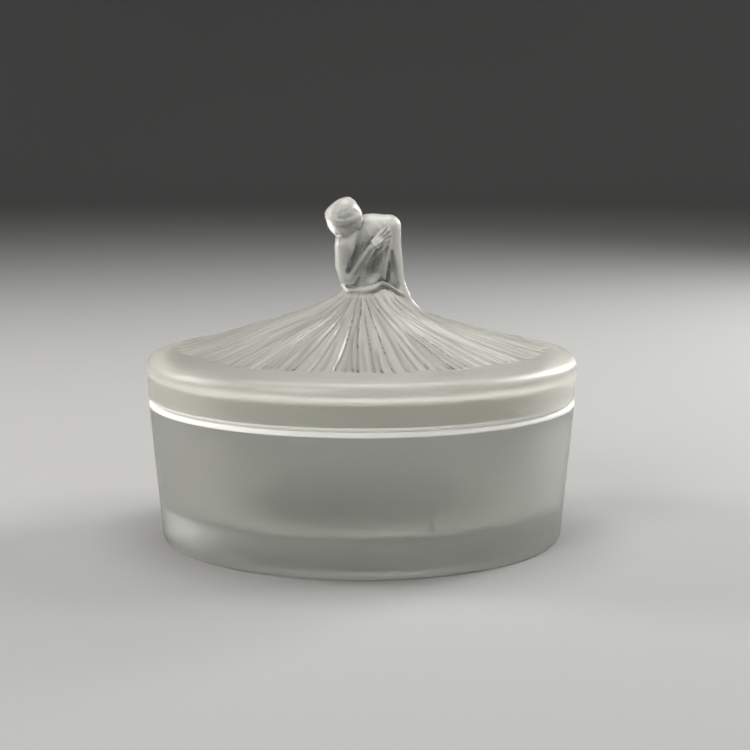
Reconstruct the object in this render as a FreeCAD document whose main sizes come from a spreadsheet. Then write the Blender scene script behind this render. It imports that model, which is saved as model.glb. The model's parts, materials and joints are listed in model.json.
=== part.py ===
import FreeCAD, Part
import os
import math
import Sketcher
from FreeCAD import Vector, Rotation

# Pressed satin-glass powder jar, in millimetres, +Z up.
# The origin is the centre of the foot ring, on the plane the jar stands on.
# Two separate pieces of glass:
#   jar_body  a tapered round box with a thick floor and a raised locating lip
#   lid       the tent-shaped cover, pressed in one with the dancer that is its handle
# The lid rests on the ledge outside the lip and lifts straight up off it.

os.makedirs("parts", exist_ok=True)

doc = FreeCAD.newDocument("powder_jar")

# ------------------------------------------------------------------ dimensions
sheet = doc.addObject("Spreadsheet::Sheet", "dimensions")
sheet.Label = "dimensions"

ROW = [0]


def cell(alias, value):
    """One driving dimension: its name in column A, its value and alias in column B."""
    ROW[0] += 1
    sheet.set("A%d" % ROW[0], alias)
    sheet.set("B%d" % ROW[0], "%.4f" % value)
    sheet.setAlias("B%d" % ROW[0], alias)


# jar body
cell("foot_radius", 39.80)         # outside of the wall at the bottom
cell("seam_radius", 42.30)         # outside of the wall at the ledge
cell("ledge_height", 27.50)        # the ledge the lid sits on
cell("recess_radius", 33.00)       # shallow hollow under the foot
cell("recess_draft", 0.80)
cell("recess_depth", 0.60)
cell("floor_height", 6.70)         # top of the thick glass floor
cell("floor_radius", 36.00)        # inside radius at the floor
cell("mouth_radius", 37.30)        # inside radius at the mouth
cell("lip_radius", 39.20)          # outside of the locating lip at its root
cell("lip_top_radius", 39.10)
cell("lip_top_height", 31.90)
cell("floor_fillet", 3.00)
cell("lip_rounding", 0.60)
cell("edge_rounding", 0.50)
cell("foot_rounding", 0.60)

# lid
cell("lid_seat_gap", 0.05)         # ground seat between the ledge and the lid
cell("lid_skirt_radius", 42.25)    # outside of the lid at its bottom edge
cell("lid_shoulder_radius", 42.56)
cell("lid_shoulder_height", 36.35)
cell("lid_bore_radius", 39.50)     # inside of the lid's wall, over the lip
cell("lid_ceiling_radius", 39.42)
cell("lid_ceiling_height", 33.00)
cell("lid_apex_height", 40.80)     # highest point of the hollow under the lid
cell("hollow_bend_radius", 33.00)  # where the hollow's rim band meets its cone
cell("hollow_bend_height", 34.15)
cell("hollow_crown_radius", 7.00)  # small flat crown of the hollow, under the dancer
cell("lid_shoulder_rounding", 2.40)
cell("lid_ceiling_fillet", 1.20)
cell("waist_radius", 4.40)         # top of the tent, where the dancer's waist begins
cell("waist_start_height", 48.90)
cell("waist_top_height", 50.20)
cell("flare_radius", 10.60)        # end of the curve that flares out from the waist
cell("flare_height", 44.95)
cell("flare_curve", 9.50)
cell("pleat_end_radius", 32.00)    # where the pleated slope eases into the smooth shoulder
cell("pleat_end_height", 38.45)

# The dancer, as rounded masses: name, centre x y z, half length, half width,
# half depth, tilt about Y and tilt about X, in degrees. The half length runs
# along the mass's own axis, which is upright before it is tilted.
MASSES = [
    ("torso", 1.30, 0.40, 56.20, 7.60, 5.00, 3.50, 4.0, 4.0),
    ("shoulders", 2.30, 0.10, 61.05, 2.55, 5.20, 3.00, 0.0, 8.0),
    ("neck", -1.70, -1.70, 61.40, 2.90, 1.90, 2.10, -40.0, 30.0),
    ("head", -3.55, -3.40, 63.25, 3.85, 3.75, 3.95, 0.0, 0.0),
    ("bent_arm", -3.75, -2.00, 55.20, 5.90, 1.70, 2.00, -6.0, 3.0),
    ("crossed_forearm", 1.00, -3.55, 54.75, 6.60, 1.35, 1.45, 39.0, 0.0),
    ("hand", 4.55, -3.70, 59.40, 2.05, 1.55, 1.05, 35.0, 0.0),
    ("hanging_arm", 6.45, 0.20, 56.90, 6.10, 1.50, 2.10, -3.0, -4.0),
    ("trailing_sleeve", 8.05, 0.90, 50.60, 5.40, 1.55, 2.35, -13.0, 7.0),
    ("train", 10.10, 1.30, 46.60, 4.80, 1.80, 3.20, -58.0, 9.0),
    ("sash", 5.30, 0.60, 49.60, 4.60, 2.70, 2.20, -30.0, 5.0),
]
for name, x, y, z, length, width, depth, tilt_y, tilt_x in MASSES:
    cell(name + "_x", x)
    cell(name + "_y", y)
    cell(name + "_z", z)
    cell(name + "_half_length", length)
    cell(name + "_half_width", width)
    cell(name + "_half_depth", depth)

doc.recompute()


def value(alias):
    return float(getattr(sheet, alias))


# ------------------------------------------------------------------ helpers
def origin_feature(body, role):
    for feature in body.Origin.OriginFeatures:
        if feature.Role == role:
            return feature
    raise RuntimeError("no origin feature " + role)


def arc_between(a, b, radius, bulge):
    """The short arc of that radius from a to b."""
    middle = (a + b) * 0.5
    chord = b - a
    half = chord.Length / 2.0
    rise = radius - math.sqrt(radius * radius - half * half)
    side = Vector(-chord.y, chord.x, 0).normalize()
    if side.dot(middle) < 0:
        side = side * -1.0
    return Part.Arc(a, middle + side * (bulge * rise), b)


def profile_sketch(body, name, points, curves):
    """A closed profile in the body's XZ plane, every corner dimensioned from the origin
    by the sheet. points is a list of (x alias or None, z alias or None); None is zero.
    curves maps the index of a side that is an arc to its radius's alias and to the side
    it bulges to: 1 away from the origin, -1 towards it."""
    sketch = body.newObject("Sketcher::SketchObject", name)
    sketch.AttachmentSupport = [(origin_feature(body, "XZ_Plane"), "")]
    sketch.MapMode = "FlatFace"

    def at(point):
        x = 0.0 if point[0] is None else eval_alias(point[0])
        z = 0.0 if point[1] is None else eval_alias(point[1])
        return Vector(x, z, 0)

    corners = [at(p) for p in points]
    count = len(corners)
    for i in range(count):
        a, b = corners[i], corners[(i + 1) % count]
        if i in curves:
            sketch.addGeometry(arc_between(a, b, value(curves[i][0]), curves[i][1]), False)
        else:
            sketch.addGeometry(Part.LineSegment(a, b), False)
    for i in range(count):
        sketch.addConstraint(
            Sketcher.Constraint("Coincident", i, 2, (i + 1) % count, 1)
        )
    for i, (radius_alias, bulge) in curves.items():
        k = sketch.addConstraint(Sketcher.Constraint("Radius", i, value(radius_alias)))
        sketch.renameConstraint(k, "r_%s_%d" % (name, i))
        sketch.setExpression("Constraints.r_%s_%d" % (name, i), expression(radius_alias))
    for i, (x_alias, z_alias) in enumerate(points):
        if x_alias is None:
            sketch.addConstraint(Sketcher.Constraint("PointOnObject", i, 1, -2))
        else:
            k = sketch.addConstraint(
                Sketcher.Constraint("DistanceX", -1, 1, i, 1, corners[i].x)
            )
            sketch.renameConstraint(k, "x_%s_%d" % (name, i))
            sketch.setExpression("Constraints.x_%s_%d" % (name, i), expression(x_alias))
        if z_alias is None:
            sketch.addConstraint(Sketcher.Constraint("PointOnObject", i, 1, -1))
        else:
            k = sketch.addConstraint(
                Sketcher.Constraint("DistanceY", -1, 1, i, 1, corners[i].y)
            )
            sketch.renameConstraint(k, "z_%s_%d" % (name, i))
            sketch.setExpression("Constraints.z_%s_%d" % (name, i), expression(z_alias))
    doc.recompute()
    return sketch


def split_alias(words):
    return [w for w in words.replace("+", " + ").replace("-", " - ").split() if w]


def eval_alias(words):
    """The value of a sum of aliases, such as 'ledge_height + lid_seat_gap'."""
    total, sign = 0.0, 1.0
    for word in split_alias(words):
        if word == "+":
            sign = 1.0
        elif word == "-":
            sign = -1.0
        else:
            total += sign * value(word)
    return total


def expression(words):
    return " ".join(
        w if w in "+-" else "dimensions." + w for w in split_alias(words)
    )


def revolve(body, name, sketch):
    feature = body.newObject("PartDesign::Revolution", name)
    feature.Profile = sketch
    feature.ReferenceAxis = (sketch, ["V_Axis"])
    feature.Angle = 360.0
    sketch.Visibility = False
    doc.recompute()
    return feature


def circle_edges(shape, radius, height):
    """Names of the full-circle edges of that radius at that height."""
    found = []
    for i, edge in enumerate(shape.Edges):
        if edge.Degenerated or not isinstance(edge.Curve, Part.Circle):
            continue
        curve = edge.Curve
        if abs(curve.Radius - radius) < 0.02 and abs(curve.Center.z - height) < 0.02:
            found.append("Edge%d" % (i + 1))
    return found


def fillet(body, name, base, corners, radius_alias):
    edges = []
    for radius, height in corners:
        found = circle_edges(base.Shape, radius, height)
        if not found:
            raise RuntimeError("%s: no edge at radius %.2f, height %.2f" % (name, radius, height))
        edges += found
    feature = body.newObject("PartDesign::Fillet", name)
    feature.Base = (base, edges)
    feature.Radius = value(radius_alias)
    feature.setExpression("Radius", "dimensions." + radius_alias)
    doc.recompute()
    if feature.Shape.isNull() or not feature.Shape.isValid():
        raise RuntimeError(name + " failed")
    return feature


# ------------------------------------------------------------------ jar body
jar = doc.addObject("PartDesign::Body", "jar_body")
jar.Label = "jar_body"
jar.Placement = FreeCAD.Placement(Vector(0, 0, 0), Rotation())

jar_sketch = profile_sketch(
    jar,
    "jar_profile",
    [
        (None, "recess_depth"),
        ("recess_radius", "recess_depth"),
        ("recess_radius + recess_draft", None),
        ("foot_radius", None),
        ("seam_radius", "ledge_height"),
        ("lip_radius", "ledge_height"),
        ("lip_top_radius", "lip_top_height"),
        ("mouth_radius", "lip_top_height"),
        ("floor_radius", "floor_height"),
        (None, "floor_height"),
    ],
    {},
)
jar_turned = revolve(jar, "jar_turned", jar_sketch)
jar_floor = fillet(
    jar, "floor_corner", jar_turned, [(value("floor_radius"), value("floor_height"))], "floor_fillet"
)
jar_lip = fillet(
    jar,
    "lip_top_edges",
    jar_floor,
    [
        (value("lip_top_radius"), value("lip_top_height")),
        (value("mouth_radius"), value("lip_top_height")),
    ],
    "lip_rounding",
)
jar_ledge = fillet(
    jar, "ledge_edge", jar_lip, [(value("seam_radius"), value("ledge_height"))], "edge_rounding"
)
jar_foot = fillet(jar, "foot_edge", jar_ledge, [(value("foot_radius"), 0.0)], "foot_rounding")

# ------------------------------------------------------------------ lid
lid = doc.addObject("PartDesign::Body", "lid")
lid.Label = "lid"
lid.Placement = FreeCAD.Placement(Vector(0, 0, 0), Rotation())

# The tent of pleated skirt runs from the waist out to the shoulder, the hollow under it
# from the wall in to the axis.
lid_sketch = profile_sketch(
    lid,
    "lid_profile",
    [
        (None, "lid_apex_height"),
        (None, "waist_top_height"),
        ("waist_radius", "waist_top_height"),
        ("waist_radius", "waist_start_height"),
        ("flare_radius", "flare_height"),
        ("pleat_end_radius", "pleat_end_height"),
        ("lid_shoulder_radius", "lid_shoulder_height"),
        ("lid_skirt_radius", "ledge_height + lid_seat_gap"),
        ("lid_bore_radius", "ledge_height + lid_seat_gap"),
        ("lid_ceiling_radius", "lid_ceiling_height"),
        ("hollow_bend_radius", "hollow_bend_height"),
        ("hollow_crown_radius", "lid_apex_height"),
    ],
    {3: ("flare_curve", -1)},
)
lid_turned = revolve(lid, "lid_turned", lid_sketch)
lid_shoulder = fillet(
    lid,
    "shoulder_edge",
    lid_turned,
    [(value("lid_shoulder_radius"), value("lid_shoulder_height"))],
    "lid_shoulder_rounding",
)
lid_rim = fillet(
    lid,
    "rim_edges",
    lid_shoulder,
    [
        (value("lid_skirt_radius"), value("ledge_height") + value("lid_seat_gap")),
        (value("lid_bore_radius"), value("ledge_height") + value("lid_seat_gap")),
    ],
    "edge_rounding",
)
lid_corner = fillet(
    lid,
    "ceiling_corner",
    lid_rim,
    [(value("lid_ceiling_radius"), value("lid_ceiling_height"))],
    "lid_ceiling_fillet",
)

# The dancer grows out of the tent, one rounded mass at a time.
last = lid_corner
for name, x, y, z, length, width, depth, tilt_y, tilt_x in MASSES:
    mass = lid.newObject("PartDesign::AdditiveEllipsoid", name)
    mass.MapMode = "Deactivated"
    mass.Placement = FreeCAD.Placement(
        Vector(x, y, z),
        Rotation(Vector(1, 0, 0), tilt_x).multiply(Rotation(Vector(0, 1, 0), tilt_y)),
    )
    mass.Radius1 = length
    mass.Radius2 = width
    mass.Radius3 = depth
    mass.setExpression("Radius1", "dimensions.%s_half_length" % name)
    mass.setExpression("Radius2", "dimensions.%s_half_width" % name)
    mass.setExpression("Radius3", "dimensions.%s_half_depth" % name)
    mass.setExpression("Placement.Base.x", "dimensions.%s_x" % name)
    mass.setExpression("Placement.Base.y", "dimensions.%s_y" % name)
    mass.setExpression("Placement.Base.z", "dimensions.%s_z" % name)
    mass.Refine = False
    before = last.Shape.Volume
    doc.recompute()
    if mass.Shape.isNull() or not mass.Shape.isValid() or mass.Shape.Volume <= before:
        raise RuntimeError("%s added nothing (%.2f to %.2f)" % (name, before, mass.Shape.Volume))
    last = mass

doc.recompute()

# ------------------------------------------------------------------ checks and output
for thing in doc.Objects:
    if "Invalid" in thing.State or "Error" in thing.State:
        raise RuntimeError("%s is in state %s" % (thing.Name, thing.State))

for piece in (jar, lid):
    shape = piece.Shape
    if shape.isNull() or not shape.isValid() or len(shape.Solids) != 1:
        raise RuntimeError("%s is not one valid solid" % piece.Label)
    box = shape.BoundBox
    print(
        "%-10s volume %9.1f mm3  box %.2f %.2f %.2f to %.2f %.2f %.2f"
        % (piece.Label, shape.Volume, box.XMin, box.YMin, box.ZMin, box.XMax, box.YMax, box.ZMax)
    )

for piece in (jar, lid):
    piece.Shape.exportStep(os.path.join("parts", piece.Label + ".step"))
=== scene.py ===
import bpy
import json
import math
import numpy as np
import openvdb as vdb
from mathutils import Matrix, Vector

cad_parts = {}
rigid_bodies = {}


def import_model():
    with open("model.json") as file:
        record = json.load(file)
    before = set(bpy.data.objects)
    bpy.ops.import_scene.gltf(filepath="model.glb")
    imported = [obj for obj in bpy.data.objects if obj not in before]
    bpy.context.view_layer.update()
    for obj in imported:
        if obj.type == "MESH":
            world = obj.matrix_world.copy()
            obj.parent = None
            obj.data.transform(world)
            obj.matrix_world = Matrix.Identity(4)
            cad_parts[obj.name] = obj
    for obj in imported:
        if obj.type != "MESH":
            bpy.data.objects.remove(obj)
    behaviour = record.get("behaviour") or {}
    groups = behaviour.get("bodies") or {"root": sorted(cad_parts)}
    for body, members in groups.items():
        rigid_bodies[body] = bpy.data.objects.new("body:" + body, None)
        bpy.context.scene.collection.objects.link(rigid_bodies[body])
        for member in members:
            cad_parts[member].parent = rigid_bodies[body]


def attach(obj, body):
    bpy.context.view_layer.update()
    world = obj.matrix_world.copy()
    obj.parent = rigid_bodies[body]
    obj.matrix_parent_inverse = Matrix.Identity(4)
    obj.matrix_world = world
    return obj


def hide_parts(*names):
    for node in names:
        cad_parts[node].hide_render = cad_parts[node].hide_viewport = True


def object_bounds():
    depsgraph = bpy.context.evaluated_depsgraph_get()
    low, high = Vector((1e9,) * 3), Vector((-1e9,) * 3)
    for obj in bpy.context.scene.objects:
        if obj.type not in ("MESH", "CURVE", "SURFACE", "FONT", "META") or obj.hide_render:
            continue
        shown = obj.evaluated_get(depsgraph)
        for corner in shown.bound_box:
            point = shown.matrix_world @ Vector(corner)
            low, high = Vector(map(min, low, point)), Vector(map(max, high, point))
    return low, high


# Satin-etched glass powder jar. All shapes are worked out in millimetres in the
# CAD's frame and turned into metres when a mesh is made.

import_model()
LO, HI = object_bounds()

MM = 0.001
scene = bpy.context.scene
rng = np.random.default_rng(41)


# ---------------------------------------------------------------- small helpers
def smoothstep(a, b, x):
    t = np.clip((x - a) / (b - a), 0.0, 1.0)
    return t * t * (3.0 - 2.0 * t)


def catmull(points, steps):
    """A smooth open curve through the points, steps samples to a span."""
    p = np.asarray(points, float)
    ext = np.vstack([2 * p[0] - p[1], p, 2 * p[-1] - p[-2]])
    out = []
    for i in range(len(p) - 1):
        a, b, c, d = ext[i:i + 4]
        for k in range(steps):
            t = k / steps
            out.append(0.5 * ((2 * b) + (c - a) * t + (2 * a - 5 * b + 4 * c - d) * t * t
                              + (3 * b - a - 3 * c + d) * t ** 3))
    out.append(p[-1])
    return np.array(out)


def rounded(points, radii, per=5):
    """A polyline in (r, z) with its corners rounded; radii match the points."""
    pts = [np.asarray(p, float) for p in points]
    out = [pts[0]]
    for i in range(1, len(pts) - 1):
        a, b, c = pts[i - 1], pts[i], pts[i + 1]
        rad = radii[i]
        if rad <= 0:
            out.append(b)
            continue
        u, v = (a - b), (c - b)
        lu, lv = np.linalg.norm(u), np.linalg.norm(v)
        u, v = u / lu, v / lv
        ang = math.acos(float(np.clip(np.dot(u, v), -1, 1)))
        cut = rad / math.tan(ang / 2)
        cut = min(cut, 0.48 * lu, 0.48 * lv)
        rad = cut * math.tan(ang / 2)
        mid = (u + v) / np.linalg.norm(u + v)
        centre = b + mid * (rad / math.sin(ang / 2))
        p0, p1 = b + u * cut - centre, b + v * cut - centre
        a0, a1 = math.atan2(p0[1], p0[0]), math.atan2(p1[1], p1[0])
        d = (a1 - a0 + math.pi) % (2 * math.pi) - math.pi
        for k in range(per + 1):
            t = a0 + d * k / per
            out.append(centre + rad * np.array([math.cos(t), math.sin(t)]))
    out.append(pts[-1])
    return np.array(out)


def densify(line, step):
    """Adds points on the long sides of a polyline."""
    out = [line[0]]
    for a, b in zip(line[:-1], line[1:]):
        n = max(1, int(math.ceil(np.linalg.norm(b - a) / step)))
        for k in range(1, n + 1):
            out.append(a + (b - a) * k / n)
    return np.array(out)


def make_object(name, verts_mm, faces):
    mesh = bpy.data.meshes.new(name)
    mesh.from_pydata((np.asarray(verts_mm, float) * MM).tolist(), [], faces)
    mesh.validate(verbose=False)
    mesh.update()
    obj = bpy.data.objects.new(name, mesh)
    scene.collection.objects.link(obj)
    return obj


def revolve(rings, counts, shape=None):
    """A closed surface of revolution from rings of (r, z). counts gives how many
    segments each ring has; neighbours have the same number, or one twice the other.
    The first and last rings have r = 0 and become single points. shape(theta, r, z,
    ring index) may move a ring's points and returns (r, z)."""
    verts, index = [], []
    for k, ((r, z), n) in enumerate(zip(rings, counts)):
        start = len(verts)
        if r <= 1e-9:
            verts.append((0.0, 0.0, z))
            index.append((start, 1))
            continue
        th = np.arange(n) * (2 * math.pi / n)
        rr, zz = np.full(n, r), np.full(n, z)
        if shape is not None:
            rr, zz = shape(th, rr, zz, k)
        verts.extend(zip((rr * np.cos(th)).tolist(), (rr * np.sin(th)).tolist(), zz.tolist()))
        index.append((start, n))
    faces = []
    for (s0, n0), (s1, n1) in zip(index[:-1], index[1:]):
        if n0 == 1:
            faces += [(s0, s1 + (i + 1) % n1, s1 + i) for i in range(n1)]
        elif n1 == 1:
            faces += [(s0 + i, s0 + (i + 1) % n0, s1) for i in range(n0)]
        elif n0 == n1:
            faces += [(s0 + i, s0 + (i + 1) % n0, s1 + (i + 1) % n1, s1 + i) for i in range(n0)]
        elif n1 == 2 * n0:
            for i in range(n0):
                j = 2 * i
                faces.append((s0 + i, s0 + (i + 1) % n0, s1 + (j + 2) % n1, s1 + j + 1, s1 + j))
        elif n0 == 2 * n1:
            for i in range(n1):
                j = 2 * i
                faces.append((s0 + j, s0 + j + 1, s0 + (j + 2) % n0, s1 + (i + 1) % n1, s1 + i))
        else:
            raise RuntimeError("ring counts %d and %d don't match" % (n0, n1))
    return verts, faces


# ---------------------------------------------------------------- the pleated skirt
TENT = catmull([
    (3.45, 50.10), (3.62, 49.35), (3.95, 48.60), (4.90, 47.65), (6.90, 46.60), (9.05, 45.60),
    (11.50, 44.60), (14.60, 43.58), (17.90, 42.62), (21.20, 41.62), (24.50, 40.58),
    (28.80, 39.18), (33.10, 38.02), (36.40, 37.30), (39.20, 36.72)], 8)


def tent_z(r):
    return np.interp(r, TENT[:, 0], TENT[:, 1])


# Grooves between the pleats: angle, where each begins and ends, depth, width, lean,
# drift. Thirty-six leave the waist; more begin between them further out.
GROOVES = []
first = 36
step = 2 * math.pi / first
for i in range(first):
    base = (i + rng.uniform(-0.20, 0.20)) * step
    GROOVES.append([base, 3.4 + rng.uniform(0, 0.8), rng.uniform(0.85, 1.30)])
    second = base + step * rng.uniform(0.42, 0.58)
    GROOVES.append([second, rng.uniform(6.2, 12.0), rng.uniform(0.65, 1.10)])
    if i % 3 != 1:
        GROOVES.append([base + step * rng.uniform(0.20, 0.28), rng.uniform(14.0, 22.0),
                        rng.uniform(0.50, 0.95)])
    if i % 3 != 2:
        GROOVES.append([base + step * rng.uniform(0.72, 0.80), rng.uniform(15.0, 24.0),
                        rng.uniform(0.50, 0.95)])
for g in GROOVES:
    g += [36.35 + rng.uniform(-0.9, 0.55), rng.uniform(-1, 1), rng.uniform(-1, 1),
          rng.uniform(0, 2 * math.pi), rng.uniform(0.85, 1.2)]


def pleat(theta, r):
    """How far the surface lies below the ridges, and how deep in a groove (0 to 1)."""
    drop = np.zeros_like(r)
    inside = np.zeros_like(r)
    grow = 0.28 + 0.27 * smoothstep(4.0, 13.0, r)
    for angle, start, weight, end, lean, drift, phase, wide in GROOVES:
        here = angle + 0.020 * drift * np.sin(r * 0.16 + phase) + 0.05 * drift * np.exp(-(r - 4.0) / 7.0)
        d = (theta - here + math.pi) % (2 * math.pi) - math.pi
        s = d * r
        width = (0.20 + 0.0062 * r) * wide
        near = np.abs(s) < 5.0 * width
        if not near.any():
            continue
        width = width * np.where(s * lean > 0, 1.0 + 0.55 * abs(lean), 1.0 - 0.25 * abs(lean))
        k = np.exp(-np.abs(s / width) ** 1.55)
        fade = smoothstep(start, start + 5.0, r) if start > 5 else smoothstep(start, start + 1.2, r)
        out = 1.0 - smoothstep(end - 1.1, end, r)
        notch = 1.0 + 0.45 * np.exp(-((r - (end - 1.8)) / 1.3) ** 2)
        amount = np.where(near, k * fade * out * notch * weight, 0.0)
        drop = drop + grow * amount
        inside = np.maximum(inside, amount)
    fold = (np.sin(23 * theta + 0.7) * 0.5 + np.sin(31 * theta + 2.1) * 0.4 + np.sin(47 * theta + 4.0) * 0.3)
    fold = fold * (1.0 - smoothstep(30.0, 36.0, r)) * smoothstep(4.2, 9.0, r)
    fine = (np.sin(139 * theta + 1.6 * np.sin(5 * theta + 0.4)) + np.sin(181 * theta + 1.9 * np.sin(7 * theta + 1.1)))
    fine = fine * smoothstep(9.0, 15.0, r) * (1.0 - smoothstep(33.5, 36.0, r))
    return drop + 0.11 * fold + 0.030 * fine, np.clip(inside, 0, 1)


def drape(theta, r):
    """The skirt is gathered higher where the dancer's train joins it."""
    d = (theta + 0.10 + math.pi) % (2 * math.pi) - math.pi
    up = 1.30 * np.exp(-(d / 0.62) ** 2) * np.exp(-((r - 8.0) / 3.6) ** 2) * smoothstep(3.6, 6.5, r)
    e = (theta + 0.62 + math.pi) % (2 * math.pi) - math.pi
    up = up + 1.75 * np.exp(-(e / 0.40) ** 2) * np.exp(-((r - 5.3) / 1.9) ** 2) * smoothstep(3.5, 4.9, r)
    return up - 0.48 * np.exp(-(d / 0.95) ** 2) * np.exp(-((r - 20.0) / 5.5) ** 2)


def waist_scale(theta, r):
    """The waist is a little narrower front to back."""
    near = 1.0 - smoothstep(4.4, 9.5, r)
    return 1.0 - 0.06 * near * np.sin(theta) ** 2


upper_r = np.concatenate([[3.45, 3.75], np.linspace(4.1, 13.6, 18), np.linspace(14.4, 34.6, 25),
                          np.array([35.2, 35.7, 36.1, 36.5, 36.9, 37.5])])
rings, counts = [(0.0, 50.1)], [1]
for r in upper_r:
    rings.append((float(r), float(tent_z(r))))
    counts.append(600 if r < 14.0 else 1200)
n_pleated = len(rings)
shoulder = rounded([(37.5, float(tent_z(37.5))), (39.2, 36.72), (42.66, 35.72), (42.25, 27.55),
                    (39.50, 27.55), (39.42, 33.0), (33.0, 34.15), (7.0, 40.8), (0.0, 40.8)],
                   [0, 6.0, 2.75, 0.85, 0.45, 1.2, 8.0, 6.0, 0], per=6)
shoulder = densify(shoulder, 1.9)[1:]
inner = 0
for r, z in shoulder:
    rings.append((float(r), float(z)))
    if r < 39.6 and z < 36.0:
        inner += 1
    if r <= 1e-9:
        counts.append(1)
    else:
        counts.append(600 if inner < 3 else 300 if r > 5.0 else 300)


def lid_shape(theta, r, z, k):
    if 1 <= k < n_pleated:
        drop, _ = pleat(theta, r)
        r2 = r * waist_scale(theta, r)
        return r2, z - drop + drape(theta, r)
    wav = 0.008 * np.sin(3 * theta + 0.4) + 0.005 * np.sin(7 * theta + 1.9)
    return r + wav * smoothstep(30.0, 38.0, r), z


verts, faces = revolve(rings, counts, lid_shape)
cover = make_object("lid_cover_work", verts, [tuple(reversed(f)) for f in faces])


# ---------------------------------------------------------------- the dancer
VOX = 0.17
X0, X1, Y0, Y1, Z0, Z1 = -9.2, 18.2, -9.2, 6.4, 41.2, 68.2
gx = np.arange(X0, X1, VOX, dtype=np.float32)
gy = np.arange(Y0, Y1, VOX, dtype=np.float32)
gz = np.arange(Z0, Z1, VOX, dtype=np.float32)
PX, PY, PZ = np.meshgrid(gx, gy, gz, indexing="ij")


def smin(a, b, k):
    h = np.clip(0.5 + 0.5 * (b - a) / k, 0.0, 1.0)
    return b + (a - b) * h - k * h * (1.0 - h)


def smax(a, b, k):
    return -smin(-a, -b, k)


def ellipsoid(c, radii, axes=None):
    x, y, z = PX - c[0], PY - c[1], PZ - c[2]
    if axes is not None:
        u, v, w = axes
        x, y, z = (x * u[0] + y * u[1] + z * u[2], x * v[0] + y * v[1] + z * v[2],
                   x * w[0] + y * w[1] + z * w[2])
    a, b, c3 = radii
    k0 = np.sqrt((x / a) ** 2 + (y / b) ** 2 + (z / c3) ** 2)
    k1 = np.sqrt((x / a ** 2) ** 2 + (y / b ** 2) ** 2 + (z / c3 ** 2) ** 2) + 1e-6
    return k0 * (k0 - 1.0) / k1


def limb(points, radii, flat=None):
    """A chain of tapering round bars. flat = (axis, factor) squeezes it along an axis."""
    best = None
    for (a, b), (ra, rb) in zip(zip(points[:-1], points[1:]), zip(radii[:-1], radii[1:])):
        a, b = np.asarray(a, float), np.asarray(b, float)
        ab = b - a
        h = ((PX - a[0]) * ab[0] + (PY - a[1]) * ab[1] + (PZ - a[2]) * ab[2]) / float(ab @ ab)
        h = np.clip(h, 0.0, 1.0)
        dx, dy, dz = PX - a[0] - ab[0] * h, PY - a[1] - ab[1] * h, PZ - a[2] - ab[2] * h
        if flat is not None:
            n, factor = np.asarray(flat[0], float), flat[1]
            n = n / np.linalg.norm(n)
            t = dx * n[0] + dy * n[1] + dz * n[2]
            grow = (1.0 / factor - 1.0) * t
            dx, dy, dz = dx + n[0] * grow, dy + n[1] * grow, dz + n[2] * grow
        d = np.sqrt(dx * dx + dy * dy + dz * dz) - (ra + (rb - ra) * h)
        if flat is not None:
            d = d * flat[1]
        best = d if best is None else np.minimum(best, d)
    return best


def unit(v):
    v = np.asarray(v, float)
    return v / np.linalg.norm(v)


# torso, bent over towards the viewer and to the left
body = ellipsoid((0.45, 0.05, 49.6), (4.35, 3.45, 2.9))
body = smin(body, ellipsoid((1.20, 0.10, 54.2), (4.30, 3.00, 5.4)), 1.6)
body = smin(body, ellipsoid((1.75, 0.25, 59.2), (4.90, 3.20, 4.1)), 1.8)
body = smin(body, ellipsoid((2.6, 0.10, 61.35), (4.6, 2.8, 2.15)), 1.2)


def front_y(x, z):
    """Where the modelled body's near side lies, looking along +Y."""
    i = int(round((x - X0) / VOX))
    k = int(round((z - Z0) / VOX))
    column = figure[i, :, k]
    inside = np.nonzero(column < 0)[0]
    return float(gy[inside[0]]) if len(inside) else 0.0


# far shoulder and the arm and sleeve that hang down into the train
far_arm = limb([(5.35, -0.1, 61.10), (5.95, 0.10, 57.5), (6.50, 0.3, 53.2), (6.88, 0.6, 49.8), (7.6, 0.9, 47.2)],
               [2.40, 1.85, 1.70, 1.66, 1.6])
web = limb([(3.9, 0.9, 59.0), (4.3, 0.9, 54.0), (5.0, 0.9, 49.0)], [1.9, 2.4, 3.0], ((0.15, 1.0, 0.0), 0.42))
train = limb([(7.15, 0.8, 48.3), (8.75, 0.9, 46.0), (10.8, 1.0, 44.3), (13.4, 1.2, 42.7)],
             [1.45, 1.35, 1.05, 0.55])
figure = smin(body, web, 0.7)
figure = smin(figure, far_arm, 0.50)
figure = smin(figure, train, 1.6)
# hollows: the chest under the crossed arm, and the web of cloth beside it
figure = smax(figure, -ellipsoid((1.90, -4.05, 52.9), (2.55, 1.75, 3.35)), 0.8)
figure = smax(figure, -limb([(5.95, -2.3, 56.2), (6.25, -1.9, 52.8), (6.9, -1.5, 49.9)], [0.65, 0.95, 0.70]), 0.5)


def ridge(points, radii, lift=0.05, k=0.35):
    """A fold lying on the figure: points are (x, z) seen from the front."""
    global figure
    line = [(x, front_y(x, z) - lift, z) for x, z in points]
    figure = smin(figure, limb(line, radii), k)


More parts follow.
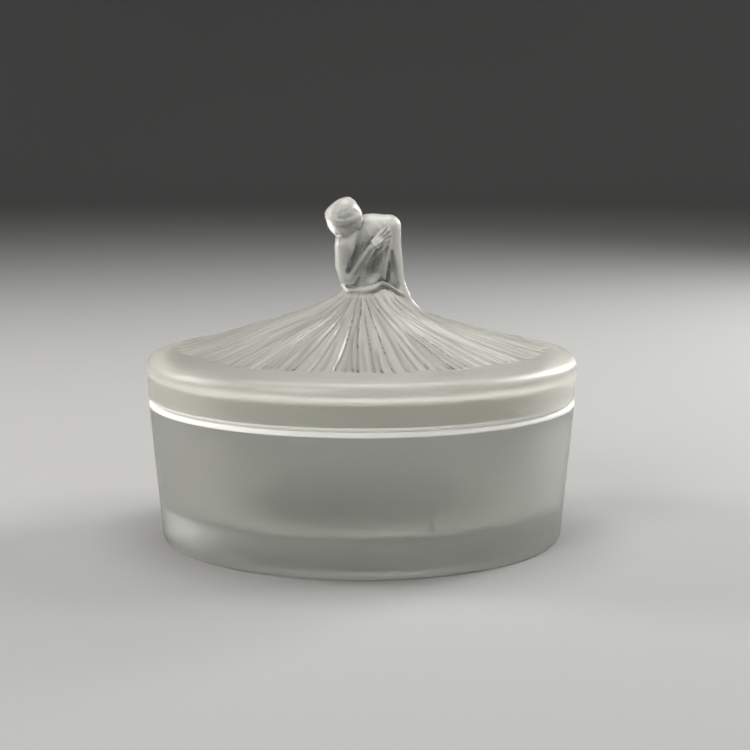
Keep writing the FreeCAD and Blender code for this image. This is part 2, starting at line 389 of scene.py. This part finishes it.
# cloth gathered at the far shoulder
ridge([(5.75, 58.7), (5.35, 57.0), (4.94, 55.1), (4.45, 52.6), (4.2, 50.6)], [0.36, 0.46, 0.52, 0.50, 0.45], 0.10, 0.30)
ridge([(4.75, 57.9), (3.9, 56.9), (2.95, 55.8)], [0.40, 0.50, 0.34], 0.05, 0.25)
ridge([(4.3, 56.0), (3.5, 54.6), (3.1, 52.6)], [0.22, 0.26, 0.20], 0.0, 0.25)
ridge([(5.9, 56.5), (5.75, 54.4), (6.1, 52.4), (7.1, 49.2)], [0.20, 0.26, 0.28, 0.28], 0.0, 0.25)
ridge([(0.9, 60.9), (1.6, 59.6), (2.0, 58.4)], [0.20, 0.26, 0.2], 0.0, 0.3)
ridge([(2.6, 61.9), (3.5, 60.9), (4.2, 59.9)], [0.20, 0.26, 0.2], 0.0, 0.3)
ridge([(4.4, 61.9), (5.2, 60.9), (5.7, 59.7)], [0.22, 0.28, 0.22], 0.0, 0.35)
for k in range(6):
    t = k / 5.0
    back = limb([(4.9 - 4.4 * t, 2.5 + 0.55 * t, 61.2 - 0.5 * t), (4.1 - 5.2 * t, 3.0, 56.0), (4.2 - 6.6 * t, 2.95, 50.6)],
                [0.26, 0.36, 0.32])
    figure = smin(figure, back, 0.45)

# near shoulder, upper arm, elbow and forearm
near_arm = limb([(-2.70, -1.7, 60.4), (-3.35, -3.0, 57.4), (-3.84, -3.75, 53.8), (-3.15, -4.05, 51.45)],
                [2.40, 2.00, 1.36, 1.36])
figure = smin(figure, near_arm, 0.45)
figure = smax(figure, -limb([(-2.55, -5.1, 52.9), (-1.25, -4.8, 55.3), (0.35, -4.3, 58.3)], [0.55, 1.05, 0.60]), 0.35)
fore = limb([(-2.35, -4.25, 51.25), (0.10, -4.65, 54.5), (1.75, -4.20, 57.0)], [1.22, 0.96, 0.78])
figure = smin(figure, fore, 0.22)
hand = limb([(1.75, -4.10, 57.0), (2.35, -3.62, 57.7), (3.10, -3.25, 58.3)], [0.76, 0.84, 0.86],
            ((0.30, -1.0, 0.25), 0.62))
figure = smin(figure, hand, 0.25)
# fingers laid over the far shoulder, and the thumb
along, across = unit((0.76, 0.0, 0.60)), unit((-0.62, 0.0, 0.78))
palm = np.array([2.95, 0.0, 58.2])
for off, length in ((0.95, 2.9), (0.34, 3.3), (-0.28, 3.2), (-0.88, 2.7)):
    line = []
    for t in (-0.22, 0.10, 0.40, 0.70, 1.0):
        q = palm + across * off * (0.86 + 0.30 * t) + along * length * t
        line.append((q[0], min(front_y(q[0], q[2]), -2.2) - 0.12 + 0.06 * t, q[2]))
    figure = smin(figure, limb(line, [0.30, 0.35, 0.35, 0.33, 0.28]), 0.10)

# sash round the waist, rising to a point at the front
sash = limb([(-3.70, 0.6, 49.55), (-3.45, -1.6, 49.4), (-2.4, -3.05, 49.0), (0.4, -3.75, 48.85), (2.4, -3.65, 49.4),
             (3.95, -3.15, 50.25), (5.1, -2.7, 49.85), (7.9, -1.0, 47.9)],
            [0.24, 0.36, 0.55, 0.58, 0.52, 0.44, 0.36, 0.22])
figure = smin(figure, sash, 0.55)
back_sash = limb([(-3.85, 0.6, 49.55), (-2.9, 2.45, 49.5), (0.2, 3.6, 49.5), (3.6, 3.2, 49.4), (6.6, 2.1, 48.8)],
                 [0.30, 0.42, 0.48, 0.46, 0.40])
figure = smin(figure, back_sash, 0.45)

# head, bowed: crown towards the viewer, face turned down and to the left
H = np.array([-3.55, -3.45, 63.02])
F = unit((-0.50, -0.38, -0.78))
C = np.array([-0.22, -0.78, 0.59])
C = unit(C - F * float(C @ F))
S = np.cross(C, F)


def at(f, c, s):
    return H + F * f + C * c + S * s


AX = (F, C, S)
head = ellipsoid(at(-0.20, 0.15, 0), (3.72, 3.62, 3.42), AX)
face = ellipsoid(at(1.35, -1.35, 0), (2.25, 2.55, 2.25), AX)
face = smin(face, ellipsoid(at(2.10, -3.05, 0), (1.15, 0.95, 1.15), AX), 1.2)
head = smin(head, face, 1.0)
head = smax(head, -ellipsoid(at(3.75, -0.25, 1.30), (0.62, 0.60, 0.85), AX), 0.45)
head = smax(head, -ellipsoid(at(3.75, -0.25, -1.30), (0.62, 0.60, 0.85), AX), 0.45)
for side in (1, -1):
    head = smin(head, ellipsoid(at(2.98, -0.32, 1.22 * side), (0.42, 0.36, 0.66), AX), 0.16)
    head = smin(head, limb([at(3.38, 0.42, 0.45 * side), at(3.30, 0.62, 1.15 * side), at(2.85, 0.42, 1.95 * side)],
                           [0.22, 0.24, 0.18]), 0.35)
    head = smin(head, ellipsoid(at(2.30, -1.35, 1.35 * side), (0.95, 1.0, 0.85), AX), 0.7)
    head = smin(head, ellipsoid(at(3.42, -1.72, 0.36 * side), (0.34, 0.26, 0.28), AX), 0.18)
    head = smin(head, ellipsoid(at(-0.15, -0.95, 3.22 * side), (0.60, 0.85, 0.36), AX), 0.2)
head = smin(head, limb([at(3.40, 0.20, 0), at(3.66, -0.75, 0), at(3.92, -1.48, 0)], [0.26, 0.27, 0.36]), 0.32)
head = smin(head, ellipsoid(at(3.30, -2.22, 0), (0.36, 0.19, 0.78), AX), 0.16)
head = smin(head, ellipsoid(at(3.22, -2.56, 0), (0.38, 0.22, 0.66), AX), 0.16)
head = smin(head, ellipsoid(at(2.72, -3.20, 0), (0.62, 0.58, 0.72), AX), 0.4)
# hair: a close cap in fine strands drawn back to a low knot, and a band across it
hf = (PX - H[0]) * F[0] + (PY - H[1]) * F[1] + (PZ - H[2]) * F[2]
hc = (PX - H[0]) * C[0] + (PY - H[1]) * C[1] + (PZ - H[2]) * C[2]
hs = (PX - H[0]) * S[0] + (PY - H[1]) * S[1] + (PZ - H[2]) * S[2]
strand = np.arctan2(hs, hc + 0.6)
cap = ellipsoid(at(-0.20, 0.12, 0), (3.86, 3.72, 3.60), AX)
curl = (np.sin(hf * 4.3 + hs * 3.1 + 1.7 * np.sin(hs * 1.9 + hc)) + np.sin(hs * 5.2 - hf * 2.2 + 1.5 * np.sin(hc * 2.3 - hf))
        + 0.8 * np.sin(hc * 4.7 + hs * 2.9 + 1.2 * np.sin(hf * 2.1))) * 0.55
cap = cap - (0.08 * np.abs(np.sin(strand * 9.0 + 0.8 * np.sin(hf * 1.1))) ** 0.8 + 0.055 * curl) * smoothstep(3.7, 2.0, np.abs(hf))
hairline = hf * 0.80 - hc * 0.62 - 1.05 + 0.10 * hs * hs * 0.35
cap = smax(cap, hairline, 0.28)
nape = -hc - 2.35 - hf * 0.35
cap = smax(cap, nape, 0.4)
head = smin(head, cap, 0.10)
band = np.abs(hf * 0.42 - hc * 0.91 + 1.55) - 0.52
band = smax(ellipsoid(at(-0.20, 0.12, 0), (4.08, 3.95, 3.82), AX), band, 0.22)
head = smin(head, band, 0.12)
knot = ellipsoid(at(-2.95, 0.45, -0.2), (1.15, 1.9, 1.9), AX)
swirl = np.arctan2(hs + 0.2, hc - 0.45) * 2.0 + np.sqrt((hs + 0.2) ** 2 + (hc - 0.45) ** 2) * 4.2
knot = knot - 0.17 * np.sin(swirl)
head = smin(head, knot, 0.18)
for n, off in (((0.87, 0.10, 0.49), 3.95), ((-0.606, 0.05, 0.795), 3.80), ((-0.745, 0.0, -0.667), 3.85)):
    head = smax(head, (PX - H[0]) * n[0] + (PY - H[1]) * n[1] + (PZ - H[2]) * n[2] - off, 1.15)
neck = limb([at(-0.9, -1.9, 0), (-1.9, -1.5, 61.4), (0.3, -0.6, 60.2)], [1.95, 2.0, 2.5])
figure = smin(figure, neck, 0.6)
figure = smin(figure, head, 0.20)

# the part below the skirt is cut away inside the cover
radial = np.sqrt(PX ** 2 + PY ** 2)
below = (np.interp(radial, TENT[:, 0], TENT[:, 1]).astype(np.float32) - PZ) - 1.25
below = np.where(radial < 3.9, (PZ * 0 + 48.2 - PZ), below)
figure = smax(figure, below, 0.05)

grid = vdb.FloatGrid()
grid.background = float(figure.max())
grid.copyFromArray(np.ascontiguousarray(figure.astype(np.float32)))
points, quads = grid.convertToQuads(0.0)
points = np.asarray(points, float) * VOX + np.array([X0, Y0, Z0])
dancer = make_object("dancer_work", points, np.asarray(quads).tolist())
me = dancer.data


def signed_volume(mesh):
    n = len(mesh.vertices)
    co = np.empty(n * 3)
    mesh.vertices.foreach_get("co", co)
    co = co.reshape(-1, 3)
    mesh.calc_loop_triangles()
    tri = np.empty(len(mesh.loop_triangles) * 3, int)
    mesh.loop_triangles.foreach_get("vertices", tri)
    a, b, c = co[tri.reshape(-1, 3)].transpose(1, 0, 2)
    return float(np.einsum("ij,ij->i", a, np.cross(b, c)).sum() / 6.0)


for o in (dancer, cover):
    if signed_volume(o.data) < 0:
        o.data.flip_normals()

thin = dancer.modifiers.new("thin", "DECIMATE")
thin.ratio = 0.48
thinned = bpy.data.meshes.new_from_object(
    dancer.evaluated_get(bpy.context.evaluated_depsgraph_get()))
dancer.modifiers.clear()
dancer.data = thinned

union = cover.modifiers.new("union", "BOOLEAN")
union.operation = "UNION"
union.solver = "MANIFOLD"
union.object = dancer
deps = bpy.context.evaluated_depsgraph_get()
joined = bpy.data.meshes.new_from_object(cover.evaluated_get(deps), depsgraph=deps)
cover.modifiers.clear()
lid = bpy.data.objects.new("lid_glass_cover", joined)
scene.collection.objects.link(lid)
joined.name = "lid_glass_cover"
bpy.data.objects.remove(cover, do_unlink=True)
bpy.data.objects.remove(dancer, do_unlink=True)
for attribute in [a.name for a in joined.attributes if a.name == "sharp_face"]:
    joined.attributes.remove(joined.attributes[attribute])
joined.materials.clear()
joined.shade_smooth()


# how deep each point of the lid lies in a groove or recess: the etching is smoother there, and painted shade darkens
# the colour there
def volume_sample(p):
    q = (p - np.array([X0, Y0, Z0])) / VOX
    q = np.clip(q, 0, np.array(figure.shape) - 1.001)
    i = q.astype(int)
    t = q - i
    out = 0.0
    for dx in (0, 1):
        for dy in (0, 1):
            for dz in (0, 1):
                w = (np.where(dx, t[:, 0], 1 - t[:, 0]) * np.where(dy, t[:, 1], 1 - t[:, 1])
                     * np.where(dz, t[:, 2], 1 - t[:, 2]))
                out = out + w * figure[i[:, 0] + dx, i[:, 1] + dy, i[:, 2] + dz]
    return out


count = len(joined.vertices)
co = np.empty(count * 3)
joined.vertices.foreach_get("co", co)
co = co.reshape(-1, 3) / MM
nor = np.empty(count * 3)
joined.vertices.foreach_get("normal", nor)
nor = nor.reshape(-1, 3)
rad = np.hypot(co[:, 0], co[:, 1])
ang = np.arctan2(co[:, 1], co[:, 0])
_, deep = pleat(ang, np.maximum(rad, 0.1))
# painted shade: the pleats' troughs on the top are darkened in colour by their depth
on_top = (nor[:, 2] > 0.05) & (co[:, 2] > 36.0)
painted_shade_and_polish = np.where(on_top & (rad > 4.0), 0.74 * deep, 0.0)
box = ((co[:, 0] > X0) & (co[:, 0] < X1) & (co[:, 1] > Y0) & (co[:, 1] < Y1)
       & (co[:, 2] > 47.6) & (co[:, 2] < Z1))
occ = np.zeros(count)
for t in (0.45, 0.9, 1.5):
    occ[box] += (t - volume_sample(co[box] + nor[box] * t)) / t
occ = np.clip(occ / 3.0, -1, 1)


def painted_shade_stroke(points, radii):
    """Painted shade: weight near a line drawn on the near side of the figure, as (x, z)."""
    best = np.zeros(count)
    for (a, b), (ra, rb) in zip(zip(points[:-1], points[1:]), zip(radii[:-1], radii[1:])):
        dx, dz = b[0] - a[0], b[1] - a[1]
        t = np.clip(((co[:, 0] - a[0]) * dx + (co[:, 2] - a[1]) * dz) / (dx * dx + dz * dz), 0, 1)
        d = np.hypot(co[:, 0] - a[0] - t * dx, co[:, 2] - a[1] - t * dz)
        r_ = ra + (rb - ra) * t
        best = np.maximum(best, 1.0 - smoothstep(0.15 * r_, 1.75 * r_, d))
    return best * smoothstep(0.05, -0.35, nor[:, 1])


# painted shade on the figure: darker where a point is enclosed by the shape around it, and along strokes between and
# under the crossed arms, down the sleeve and on the head
painted_recess_shade = np.clip(1.6 * occ, 0.0, 1.0)
for line, radii, weight in (
        ([(-2.75, 52.7), (-1.35, 55.2), (0.25, 58.0)], [0.50, 0.82, 0.50], 0.90),
        ([(0.3, 51.3), (1.9, 53.0), (3.2, 54.7), (3.9, 55.8)], [0.95, 1.35, 1.0, 0.4], 0.90),
        ([(-1.3, 52.2), (0.2, 54.7), (1.5, 56.7)], [0.30, 0.35, 0.30], 0.45),
        ([(5.95, 56.4), (6.35, 52.9), (7.2, 49.6)], [0.40, 0.75, 0.55], 0.80),
        ([(-4.0, 64.2), (-3.0, 63.9)], [2.0, 2.0], 0.50)):
    painted_recess_shade = np.maximum(painted_recess_shade, weight * painted_shade_stroke(line, radii))
painted_shade_and_polish = np.where(box, painted_recess_shade, painted_shade_and_polish)
layer = joined.attributes.new("painted_shade_and_polish", "FLOAT", "POINT")
layer.data.foreach_set("value", painted_shade_and_polish.astype(np.float32))

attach(lid, "lid")
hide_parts("lid")

# ---------------------------------------------------------------- the jar
jar_line = rounded([(0.0, 0.60), (33.0, 0.60), (33.8, 0.0), (39.80, 0.0), (42.30, 27.50), (39.20, 27.50),
                    (39.10, 31.90), (37.30, 31.90), (36.00, 6.70), (0.0, 6.70)],
                   [0, 0.5, 0.5, 0.75, 0.85, 0.35, 0.65, 0.65, 1.3, 0], per=6)
jar_line = densify(jar_line, 1.5)


def jar_shape(theta, r, z, k):
    wav = (0.016 * np.sin(2 * theta + 0.9) + 0.010 * np.sin(5 * theta + 2.2) + 0.006 * np.sin(11 * theta + z * 0.2))
    on = smoothstep(33.0, 36.0, r) * (1.0 - smoothstep(20.0, 26.0, z)) * smoothstep(0.6, 2.0, z)
    return r + wav * on, z


jar_counts = [1 if r <= 1e-9 else (480 if r > 20.0 else 240 if r > 8.0 else 120) for r, z in jar_line]
verts, faces = revolve([tuple(p) for p in jar_line], jar_counts, jar_shape)
jar = make_object("jar_glass_body", verts, faces)
if signed_volume(jar.data) < 0:
    jar.data.flip_normals()
jar.data.shade_smooth()
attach(jar, "jar")
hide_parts("jar_body")
layer = jar.data.attributes.new("painted_shade_and_polish", "FLOAT", "POINT")
layer.data.foreach_set("value", np.zeros(len(jar.data.vertices), dtype=np.float32))


# ---------------------------------------------------------------- materials
LID_TINT, LID_ROUGH, LID_CLEAR = (0.948, 0.937, 0.880), 0.385, 0.905
# painted shade: the jar is a darker grey copy of the same glass as the lid
JAR_SHADED_TINT, JAR_ROUGH, JAR_CLEAR = (0.775, 0.780, 0.757), 0.41, 0.962
# painted highlight: a whiter, less clear copy of the glass makes the bright line along the outer roundings of the seam
HIGHLIGHT_TINT, SEAM_HIGHLIGHT_CLEAR = (0.990, 0.988, 0.960), 0.14
# painted highlight: a whiter, half-clear copy of the glass brightens the inner corners and the flat seat faces; on the
# seat faces it is partly the ground glass's own white
CORNER_HIGHLIGHT_CLEAR = 0.46
FIGURE_TINT, FIGURE_ROUGH, FIGURE_CLEAR = (0.996, 0.990, 0.952), 0.36, 0.71
FLOOR_NEAR, FLOOR_FAR = 0.320, 0.320
HORIZON, ZENITH = 0.025, 0.12
TOP_AT = (0.0, 0.08, 0.62)
KEY, RIM_L, RIM_R, TOP, FILL = 2.0, 2.7, 2.6, 2.8, 0.9
FILL_L = 2.9


def satin_glass(name, tint, rough, clear):
    """Acid-etched glass: clear inside, with a fine frosted skin that is polished a
    little in the hollows."""
    mat = bpy.data.materials.new(name)
    mat.use_nodes = True
    nt = mat.node_tree
    nt.nodes.clear()
    N, L = nt.nodes.new, nt.links.new
    out = N("ShaderNodeOutputMaterial")
    bsdf = N("ShaderNodeBsdfPrincipled")
    L(bsdf.outputs["BSDF"], out.inputs["Surface"])
    bsdf.inputs["IOR"].default_value = 1.50
    bsdf.inputs["Transmission Weight"].default_value = clear
    bsdf.inputs["Specular IOR Level"].default_value = 0.5

    coord = N("ShaderNodeTexCoord")
    shade_and_polish_at = N("ShaderNodeAttribute")
    shade_and_polish_at.attribute_name = "painted_shade_and_polish"

    def noise(scale, detail, rough_=0.5):
        n = N("ShaderNodeTexNoise")
        n.inputs["Scale"].default_value = scale
        n.inputs["Detail"].default_value = detail
        n.inputs["Roughness"].default_value = rough_
        L(coord.outputs["Object"], n.inputs["Vector"])
        return n

    def math_node(op, a, b, clamp=False):
        m = N("ShaderNodeMath")
        m.operation = op
        m.use_clamp = clamp
        for i, v in enumerate((a, b)):
            if isinstance(v, (int, float)):
                m.inputs[i].default_value = v
            else:
                L(v, m.inputs[i])
        return m.outputs[0]

    cloud = noise(95.0, 3.0)
    grain = noise(5200.0, 2.0)
    mottle = noise(900.0, 3.0, 0.6)
    speck = N("ShaderNodeTexVoronoi")
    speck.inputs["Scale"].default_value = 420.0
    L(coord.outputs["Object"], speck.inputs["Vector"])
    dot = N("ShaderNodeMapRange")
    dot.inputs["From Min"].default_value = 0.055
    dot.inputs["From Max"].default_value = 0.02
    L(speck.outputs["Distance"], dot.inputs["Value"])

    # roughness: cloudy etch, clearer in the hollows
    r1 = math_node("MULTIPLY", math_node("SUBTRACT", cloud.outputs["Fac"], 0.5), 0.16)
    r2 = math_node("MULTIPLY", math_node("SUBTRACT", mottle.outputs["Fac"], 0.5), 0.10)
    r3 = math_node("MULTIPLY", shade_and_polish_at.outputs["Fac"], -0.15)
    total = math_node("ADD", math_node("ADD", r1, r2), math_node("ADD", r3, rough), True)
    L(total, bsdf.inputs["Roughness"])

    # colour: warm grey white, with painted shade darkening the hollows, slight clouding
    shade_ramp = N("ShaderNodeMix")
    shade_ramp.data_type = "RGBA"
    shade_ramp.inputs["A"].default_value = (*tint, 1)
    shade_ramp.inputs["B"].default_value = (tint[0] * 0.15, tint[1] * 0.155, tint[2] * 0.16, 1)
    L(shade_and_polish_at.outputs["Fac"], shade_ramp.inputs["Factor"])
    cloudy = N("ShaderNodeMix")
    cloudy.data_type = "RGBA"
    cloudy.blend_type = "MULTIPLY"
    cloudy.inputs["Factor"].default_value = 1.0
    L(shade_ramp.outputs["Result"], cloudy.inputs["A"])
    tone = N("ShaderNodeMix")
    tone.data_type = "RGBA"
    tone.inputs["A"].default_value = (0.93, 0.94, 0.92, 1)
    tone.inputs["B"].default_value = (1.0, 1.0, 1.0, 1)
    L(cloud.outputs["Fac"], tone.inputs["Factor"])
    L(tone.outputs["Result"], cloudy.inputs["B"])
    dusted = N("ShaderNodeMix")
    dusted.data_type = "RGBA"
    L(cloudy.outputs["Result"], dusted.inputs["A"])
    dusted.inputs["B"].default_value = (1.0, 1.0, 0.97, 1)
    L(math_node("MULTIPLY", dot.outputs["Result"], 0.35), dusted.inputs["Factor"])
    L(dusted.outputs["Result"], bsdf.inputs["Base Color"])

    # the etched skin: fine grain over a slightly uneven pressed surface
    b1 = N("ShaderNodeBump")
    b1.inputs["Strength"].default_value = 0.16
    b1.inputs["Distance"].default_value = 0.00004
    L(grain.outputs["Fac"], b1.inputs["Height"])
    b2 = N("ShaderNodeBump")
    b2.inputs["Strength"].default_value = 0.22
    b2.inputs["Distance"].default_value = 0.00012
    L(mottle.outputs["Fac"], b2.inputs["Height"])
    L(b1.outputs["Normal"], b2.inputs["Normal"])
    L(b2.outputs["Normal"], bsdf.inputs["Normal"])
    return mat


lid_mat = satin_glass("satin_glass_lid", LID_TINT, LID_ROUGH, LID_CLEAR)
jar_mat = satin_glass("satin_glass_jar", JAR_SHADED_TINT, JAR_ROUGH, JAR_CLEAR)
# painted highlight along the seam's outer roundings
seam_highlight_mat = satin_glass("seam_painted_highlight", HIGHLIGHT_TINT, 0.62, SEAM_HIGHLIGHT_CLEAR)
# painted highlight in the inner corners and on the flat seat faces
corner_highlight_mat = satin_glass("satin_glass_corner_painted_highlight", HIGHLIGHT_TINT, 0.55, CORNER_HIGHLIGHT_CLEAR)
figure_mat = satin_glass("satin_glass_figure", FIGURE_TINT, FIGURE_ROUGH, FIGURE_CLEAR)
for piece, body_mat in ((lid, lid_mat), (jar, jar_mat)):
    piece.data.materials.append(body_mat)
    piece.data.materials.append(seam_highlight_mat)
    mesh = piece.data
    centre = np.empty(len(mesh.polygons) * 3)
    mesh.polygons.foreach_get("center", centre)
    centre = centre.reshape(-1, 3) / MM
    r = np.hypot(centre[:, 0], centre[:, 1])
    if piece is lid:
        seat_and_seam = centre[:, 2] < 28.42
    else:
        seat_and_seam = (r > 39.15) & (centre[:, 2] > 26.62)
        seat_and_seam &= (centre[:, 2] < 27.56) | (r > 39.6)
    # the seat faces and the seam's outer roundings take the seam's painted highlight; the flat seat faces among them
    # are changed to the corner glass below
    index = seat_and_seam.astype(np.int32)
    if piece is lid:
        piece.data.materials.append(figure_mat)
        th = np.arctan2(centre[:, 1], centre[:, 0])
        proud = centre[:, 2] - tent_z(r) - drape(th, r)
        index[(r < 13.0) & (centre[:, 2] > 45.0) & (proud > 0.45)] = 2
        piece.data.materials.append(corner_highlight_mat)
        # painted highlight: the lid's flat seat faces and its inner corner under the ceiling take the whiter corner
        # glass
        index[seat_and_seam & (r < 41.45)] = 3
        index[(r > 38.1) & (r < 39.6) & (centre[:, 2] > 32.1) & (centre[:, 2] < 33.6)] = 3
    if piece is jar:
        piece.data.materials.append(corner_highlight_mat)
        # painted highlight: the jar's inner floor corner and its flat ledge take the whiter corner glass
        index[(r > 24.0) & (r < 36.45) & (centre[:, 2] > 6.4) & (centre[:, 2] < 7.6)] = 2
        index[seat_and_seam & (r < 41.45)] = 2
    mesh.polygons.foreach_set("material_index", index)
    mesh.update()
for node_name in ("jar_body", "lid"):
    for obj in bpy.data.objects:
        if obj.type == "MESH" and obj.name == node_name and obj.data.materials:
            obj.data.materials[0] = jar_mat if node_name == "jar_body" else lid_mat

# ---------------------------------------------------------------- floor, light, camera
z0 = LO[2] * 1000.0
bowl = [(0.0, z0), (60.0, z0), (160.0, z0), (400.0, z0), (800.0, z0), (1300.0, z0)]
for k in range(1, 13):
    t = math.radians(90.0 * k / 12)
    bowl.append((1300.0 + 600.0 * math.sin(t), z0 + 600.0 * (1.0 - math.cos(t))))
bowl.append((1900.0, z0 + 1400.0))
verts, faces = revolve(bowl, [1] + [96] * (len(bowl) - 1))
floor = make_object("studio_floor", verts, faces)
floor.data.shade_smooth()
fm = bpy.data.materials.new("floor_paper")
fm.use_nodes = True
nt = fm.node_tree
fb = nt.nodes["Principled BSDF"]
fb.inputs["Roughness"].default_value = 0.95
fb.inputs["Specular IOR Level"].default_value = 0.1
geo = nt.nodes.new("ShaderNodeNewGeometry")
length = nt.nodes.new("ShaderNodeVectorMath")
length.operation = "LENGTH"
nt.links.new(geo.outputs["Position"], length.inputs[0])
fall = nt.nodes.new("ShaderNodeMapRange")
fall.interpolation_type = "SMOOTHERSTEP"
fall.inputs["From Min"].default_value = 0.07
fall.inputs["From Max"].default_value = 0.55
nt.links.new(length.outputs["Value"], fall.inputs["Value"])
mix = nt.nodes.new("ShaderNodeMix")
mix.data_type = "RGBA"
mix.inputs["A"].default_value = (FLOOR_NEAR, FLOOR_NEAR, FLOOR_NEAR * 0.985, 1)
mix.inputs["B"].default_value = (FLOOR_FAR, FLOOR_FAR, FLOOR_FAR, 1)
nt.links.new(fall.outputs["Result"], mix.inputs["Factor"])
nt.links.new(mix.outputs["Result"], fb.inputs["Base Color"])
floor.data.materials.append(fm)

world = bpy.data.worlds.new("studio")
scene.world = world
world.use_nodes = True
wn = world.node_tree
sky = wn.nodes["Background"]
sky.inputs["Strength"].default_value = 1.0
direction = wn.nodes.new("ShaderNodeTexCoord")
apart = wn.nodes.new("ShaderNodeSeparateXYZ")
wn.links.new(direction.outputs["Generated"], apart.inputs["Vector"])
climb = wn.nodes.new("ShaderNodeMapRange")
climb.interpolation_type = "SMOOTHSTEP"
climb.inputs["From Min"].default_value = 0.06
climb.inputs["From Max"].default_value = 0.75
wn.links.new(apart.outputs["Z"], climb.inputs["Value"])
dome = wn.nodes.new("ShaderNodeMix")
dome.data_type = "RGBA"
dome.inputs["A"].default_value = (HORIZON, HORIZON, HORIZON, 1)
dome.inputs["B"].default_value = (ZENITH, ZENITH, ZENITH * 0.98, 1)
wn.links.new(climb.outputs["Result"], dome.inputs["Factor"])
wn.links.new(dome.outputs["Result"], sky.inputs["Color"])


def area(name, loc, target, size, power, colour=(1, 1, 1), size_y=None, spread=180.0):
    data = bpy.data.lights.new(name, "AREA")
    data.energy = power
    data.color = colour
    data.size = size
    data.spread = math.radians(spread)
    if size_y:
        data.shape = "RECTANGLE"
        data.size_y = size_y
    obj = bpy.data.objects.new(name, data)
    scene.collection.objects.link(obj)
    obj.location = loc
    from mathutils import Vector
    obj.rotation_euler = (Vector(target) - Vector(loc)).to_track_quat("-Z", "Y").to_euler()
    return obj


area("key", (0.46, 0.16, 0.42), (0, 0, 0.035), 0.26, KEY, (1.0, 0.985, 0.95), None)
area("left_rim", (-0.56, 0.14, 0.25), (0, 0, 0.035), 0.20, RIM_L, (1.0, 0.97, 0.92), 0.34)
area("right_rim", (0.44, 0.40, 0.26), (0, 0, 0.035), 0.16, RIM_R, (1.0, 0.99, 0.97), 0.26)
area("top", TOP_AT, (0, 0, 0.035), 0.40, TOP, (1.0, 1.0, 0.98))
area("fill", (0.40, -0.72, 0.55), (0, 0, 0.03), 0.36, FILL, (0.99, 0.99, 1.0))
area("left_fill", (-0.36, -0.58, 0.44), (0, 0, 0.04), 0.30, FILL_L, (1.0, 0.99, 0.97))
scene.view_settings.view_transform = "Standard"

cam_data = bpy.data.cameras.new("camera")
cam = bpy.data.objects.new("camera", cam_data)
scene.collection.objects.link(cam)
cam.location = (0.0, -0.346065, 0.083432)
cam.rotation_euler = (math.radians(90.0 - 8.5267), 0, 0)
cam_data.sensor_width = 36.0
cam_data.lens = 1753.23 / 750.0 * 36.0
cam_data.shift_x = 13.2 / 750.0
cam_data.clip_start = 0.01
cam_data.clip_end = 20.0
scene.camera = cam

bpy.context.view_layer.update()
for o in (lid, jar):
    n = len(o.data.vertices)
    c = np.empty(n * 3)
    o.data.vertices.foreach_get("co", c)
    c = c.reshape(-1, 3)
    o.data.calc_loop_triangles()
